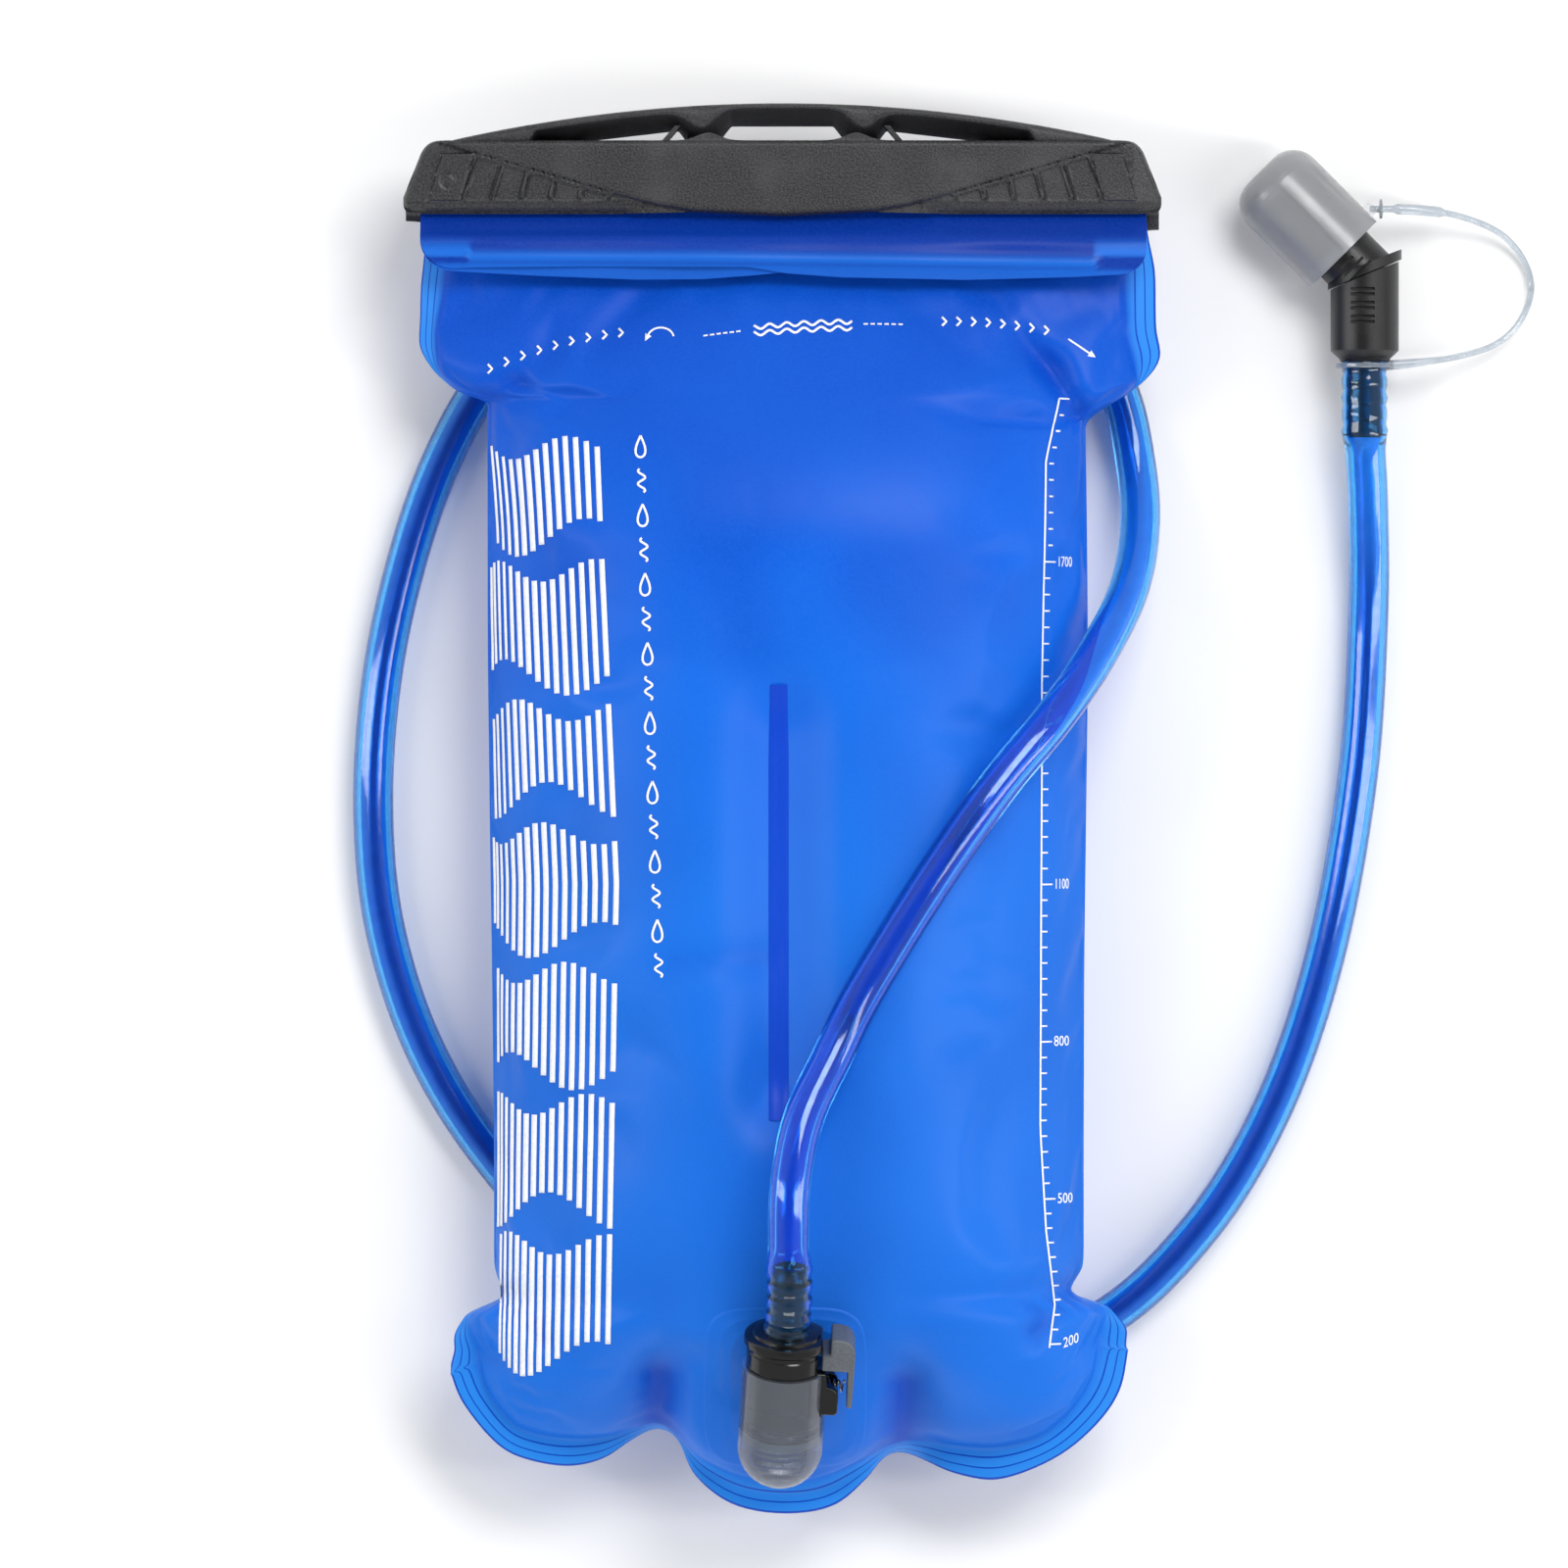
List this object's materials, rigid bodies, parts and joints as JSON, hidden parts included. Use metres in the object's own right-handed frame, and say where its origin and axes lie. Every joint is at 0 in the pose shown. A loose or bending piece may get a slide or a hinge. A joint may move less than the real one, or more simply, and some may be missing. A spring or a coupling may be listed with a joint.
{
  "type": "hydration bladder",
  "caption": "Soft drinking-water bladder with a slide-on top closure, a quick-release hose port, a long drinking tube and an angled bite valve with a tethered dust cap.",
  "frame": {"origin": "on the resting surface under the middle of the bladder's outline, without its tube and bite valve", "axes": "+X to the right seen from the front, +Y along the bladder towards the slider, +Z out of the front panel, up when it lies on its back"},
  "size_m": [0.2914, 0.345, 0.0855],
  "materials": {
    "film_blue": "gloss, translucent film",
    "port_frosted": "frosted clear",
    "black_plastic": "satin",
    "slider_black": "fine leather grain",
    "button_grey": "satin",
    "poppet_white": "satin",
    "seal_rubber": "matt",
    "spring_steel": "bright wire",
    "tube_blue": "gloss, translucent",
    "bite_silicone": "satin, translucent",
    "cap_frosted": "frosted clear",
    "tether_clear": "clear"
  },
  "bodies": {
    "bladder": {"front_panel": "film_blue", "back_panel": "film_blue", "inner_lip": "film_blue", "outer_lip": "film_blue", "inner_stiffener": "film_blue", "outer_stiffener": "film_blue", "baffle_strip": "film_blue", "port_patch": "film_blue", "port_housing": "port_frosted", "port_flange": "film_blue", "poppet_spring": "spring_steel", "hose_plug": "black_plastic", "plug_o_ring": "seal_rubber", "latch_spring": "spring_steel", "drink_tube": "tube_blue", "valve_body": "black_plastic", "cap_tether": "tether_clear"},
    "slider": {"slider_bar": "slider_black"},
    "button": {"latch_button": "button_grey"},
    "poppet": {"poppet": "poppet_white", "poppet_seal": "seal_rubber"},
    "elbow": {"valve_elbow": "black_plastic", "swivel_o_ring": "seal_rubber", "bite_piece": "bite_silicone"},
    "cap": {"dust_cap": "cap_frosted"}
  },
  "joints": [
    {"name": "slider_pull", "type": "slide", "parent": "bladder", "child": "slider", "axis": [1, 0, 0], "range_m": [-0.19, 0]},
    {"name": "latch_press", "type": "slide", "parent": "bladder", "child": "button", "axis": [-0.9986, 0.0478, 0.0213], "range_m": [0, 0.002], "stiffness_N_per_m": 600, "springref_m": -0.001, "deforming": ["latch_spring"]},
    {"name": "poppet_travel", "type": "slide", "parent": "bladder", "child": "poppet", "axis": [0.0523, 0.9123, 0.4062], "range_m": [-0.002, 0], "stiffness_N_per_m": 300, "springref_m": 0.003, "deforming": ["poppet_spring"]},
    {"name": "elbow_swivel", "type": "hinge", "parent": "bladder", "child": "elbow", "pos_m": [0.1434, 0.1313, 0.012], "axis": [-0.3827, 0.9239, 0], "range_deg": [0, 180], "deforming": ["cap_tether"]},
    {"name": "cap_pull", "type": "slide", "parent": "elbow", "child": "cap", "axis": [-0.7071, 0.7071, 0], "range_m": [0, 0.04], "deforming": ["cap_tether"]}
  ]
}
